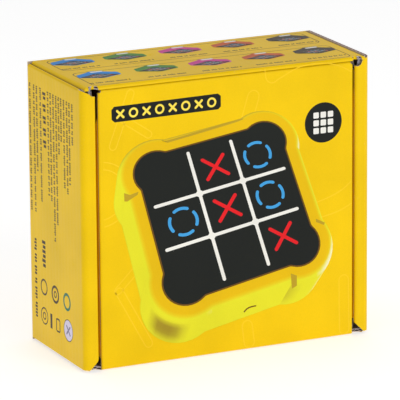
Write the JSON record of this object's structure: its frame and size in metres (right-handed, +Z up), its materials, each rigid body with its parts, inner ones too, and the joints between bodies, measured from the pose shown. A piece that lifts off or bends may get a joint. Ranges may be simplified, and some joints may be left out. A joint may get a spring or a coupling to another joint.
{
  "type": "tic tac toe set",
  "caption": "Printed corrugated mailer carton with a hinged tuck lid, holding a square hand-held tic tac toe game with lit keys.",
  "frame": {"origin": "on the floor under the middle of the carton's outer box", "axes": "+Z up; -Y towards the front, the lid's side; +X to the right as seen from the front"},
  "size_m": [0.13, 0.056, 0.119],
  "materials": {
    "print_board": "gloss laminated print over fine corrugated board",
    "bare_board": "raw brown liner",
    "leaflet_paper": "matt",
    "yellow_shell": "moulded, satin gloss",
    "black_plate": "gloss",
    "white_line": "gloss",
    "key_black": "satin, translucent smoke",
    "red_mark": "translucent lens",
    "blue_mark": "translucent lens",
    "white_frame": "matt",
    "board_green": "solder mask",
    "switch_metal": "stamped",
    "red_led": "clear epoxy",
    "blue_led": "clear epoxy",
    "chip_black": "matt epoxy",
    "screw_steel": "zinc plated",
    "speaker_metal": "black",
    "cell_wrap": "printed metal jacket",
    "contact_steel": "nickel plated",
    "slider_black": "satin",
    "foot_rubber": "matt"
  },
  "bodies": {
    "carton": {"base_panel": "print_board", "top_wall": "print_board", "bottom_wall": "print_board", "left_outer_wall": "print_board", "left_rolled_edge": "print_board", "left_inner_wall": "bare_board", "right_outer_wall": "print_board", "right_rolled_edge": "print_board", "right_inner_wall": "bare_board", "top_left_ear": "bare_board", "top_right_ear": "bare_board", "bottom_left_ear": "bare_board", "bottom_right_ear": "bare_board"},
    "lid": {"lid_panel": "print_board"},
    "left_wing": {"lid_left_wing": "print_board"},
    "right_wing": {"lid_right_wing": "print_board"},
    "tuck": {"tuck_flap": "print_board"},
    "leaflet": {"leaflet": "leaflet_paper"},
    "unit": {"front_housing": "yellow_shell", "rear_housing": "yellow_shell", "face_plate": "black_plate", "grid_lines": "white_line", "reflector_frame": "white_frame", "circuit_board": "board_green", "tact_switches": "switch_metal", "red_leds": "red_led", "blue_leds": "blue_led", "controller_chip": "chip_black", "board_screws": "screw_steel", "speaker": "speaker_metal", "batteries": "cell_wrap", "battery_springs": "contact_steel", "battery_plates": "contact_steel", "housing_screws": "screw_steel", "switch_body": "switch_metal", "rubber_feet": "foot_rubber"},
    "key_top_left": {"key_top_left": "key_black"},
    "key_top_middle": {"key_top_middle": "key_black", "cross_top_middle": "red_mark"},
    "key_top_right": {"key_top_right": "key_black", "ring_top_right": "blue_mark"},
    "key_middle_left": {"key_middle_left": "key_black", "ring_middle_left": "blue_mark"},
    "key_centre": {"key_centre": "key_black", "cross_centre": "red_mark"},
    "key_middle_right": {"key_middle_right": "key_black", "ring_middle_right": "blue_mark"},
    "key_bottom_left": {"key_bottom_left": "key_black"},
    "key_bottom_middle": {"key_bottom_middle": "key_black"},
    "key_bottom_right": {"key_bottom_right": "key_black", "cross_bottom_right": "red_mark"},
    "power_slider": {"power_slider": "slider_black"},
    "battery_door": {"battery_door": "yellow_shell", "door_screw": "screw_steel"}
  },
  "joints": [
    {"name": "lid_hinge", "type": "hinge", "parent": "carton", "child": "lid", "pos_m": [0, -0.028, 0.119], "axis": [-1, 0, 0], "range_deg": [0, 180]},
    {"name": "left_wing_fold", "type": "hinge", "parent": "lid", "child": "left_wing", "pos_m": [-0.0574, -0.0265, 0.06], "axis": [0, 0, 1], "range_deg": [0, 22]},
    {"name": "right_wing_fold", "type": "hinge", "parent": "lid", "child": "right_wing", "pos_m": [0.0574, -0.0265, 0.06], "axis": [0, 0, -1], "range_deg": [0, 22]},
    {"name": "tuck_fold", "type": "hinge", "parent": "lid", "child": "tuck", "pos_m": [0, -0.0262, 0.0017], "axis": [-1, 0, 0], "range_deg": [0, 37]},
    {"name": "leaflet_slide", "type": "slide", "parent": "carton", "child": "leaflet", "axis": [0, -1, 0], "range_m": [0, 0.019]},
    {"name": "unit_slide", "type": "slide", "parent": "carton", "child": "unit", "axis": [0, -1, 0], "range_m": [0, 0.0285]},
    {"name": "key_top_left_press", "type": "slide", "parent": "unit", "child": "key_top_left", "axis": [0, 1, 0], "range_m": [0, 0.0008], "stiffness_N_per_m": 300},
    {"name": "key_top_middle_press", "type": "slide", "parent": "unit", "child": "key_top_middle", "axis": [0, 1, 0], "range_m": [0, 0.0008], "stiffness_N_per_m": 300},
    {"name": "key_top_right_press", "type": "slide", "parent": "unit", "child": "key_top_right", "axis": [0, 1, 0], "range_m": [0, 0.0008], "stiffness_N_per_m": 300},
    {"name": "key_middle_left_press", "type": "slide", "parent": "unit", "child": "key_middle_left", "axis": [0, 1, 0], "range_m": [0, 0.0008], "stiffness_N_per_m": 300},
    {"name": "key_centre_press", "type": "slide", "parent": "unit", "child": "key_centre", "axis": [0, 1, 0], "range_m": [0, 0.0008], "stiffness_N_per_m": 300},
    {"name": "key_middle_right_press", "type": "slide", "parent": "unit", "child": "key_middle_right", "axis": [0, 1, 0], "range_m": [0, 0.0008], "stiffness_N_per_m": 300},
    {"name": "key_bottom_left_press", "type": "slide", "parent": "unit", "child": "key_bottom_left", "axis": [0, 1, 0], "range_m": [0, 0.0008], "stiffness_N_per_m": 300},
    {"name": "key_bottom_middle_press", "type": "slide", "parent": "unit", "child": "key_bottom_middle", "axis": [0, 1, 0], "range_m": [0, 0.0008], "stiffness_N_per_m": 300},
    {"name": "key_bottom_right_press", "type": "slide", "parent": "unit", "child": "key_bottom_right", "axis": [0, 1, 0], "range_m": [0, 0.0008], "stiffness_N_per_m": 300},
    {"name": "power_slide", "type": "slide", "parent": "unit", "child": "power_slider", "axis": [1, 0, 0], "range_m": [0, 0.004]},
    {"name": "battery_door_lift", "type": "slide", "parent": "unit", "child": "battery_door", "axis": [0, 1, 0], "range_m": [0, 0.0025]}
  ],
  "couplings": [
    {"joint": "left_wing_fold", "follows": "lid_hinge", "ratio": 0.12},
    {"joint": "right_wing_fold", "follows": "lid_hinge", "ratio": 0.12},
    {"joint": "tuck_fold", "follows": "lid_hinge", "ratio": 0.2},
    {"joint": "leaflet_slide", "follows": "lid_hinge", "m_per_rad": 0.006},
    {"joint": "unit_slide", "follows": "lid_hinge", "m_per_rad": 0.009}
  ]
}
